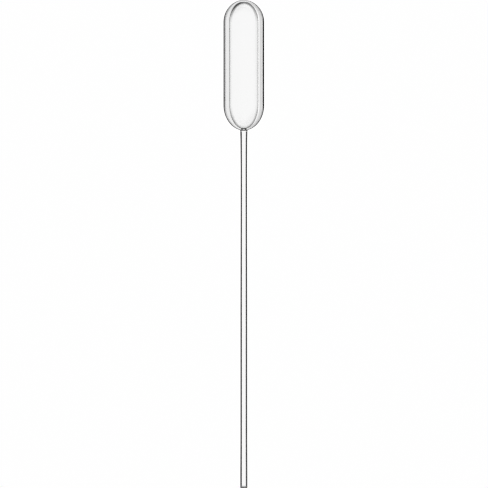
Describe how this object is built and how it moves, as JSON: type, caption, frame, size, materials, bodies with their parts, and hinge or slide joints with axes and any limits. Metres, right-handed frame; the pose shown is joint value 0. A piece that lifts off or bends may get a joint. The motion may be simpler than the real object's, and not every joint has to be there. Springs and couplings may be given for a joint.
{
  "type": "volumetric pipette",
  "caption": "Heavy-walled clear glass bulb pipette: a closed capsule bulb on one long straight open stem with a fire-polished mouth.",
  "frame": {"origin": "centre of the stem's open mouth, on the axis, where the mouth's straight land is held", "axes": "+Z along the axis, from the mouth up to the bulb; X and Y are free because the vessel is round"},
  "size_m": [0.0358, 0.0358, 0.43],
  "materials": {
    "glass": "clear, fire-polished"
  },
  "bodies": {
    "root": {"mouth_rim": "glass", "stem_tube": "glass", "stem_waist": "glass", "stem_seal": "glass", "bulb_shoulder": "glass", "bulb_barrel": "glass", "bulb_crown": "glass"}
  },
  "joints": []
}
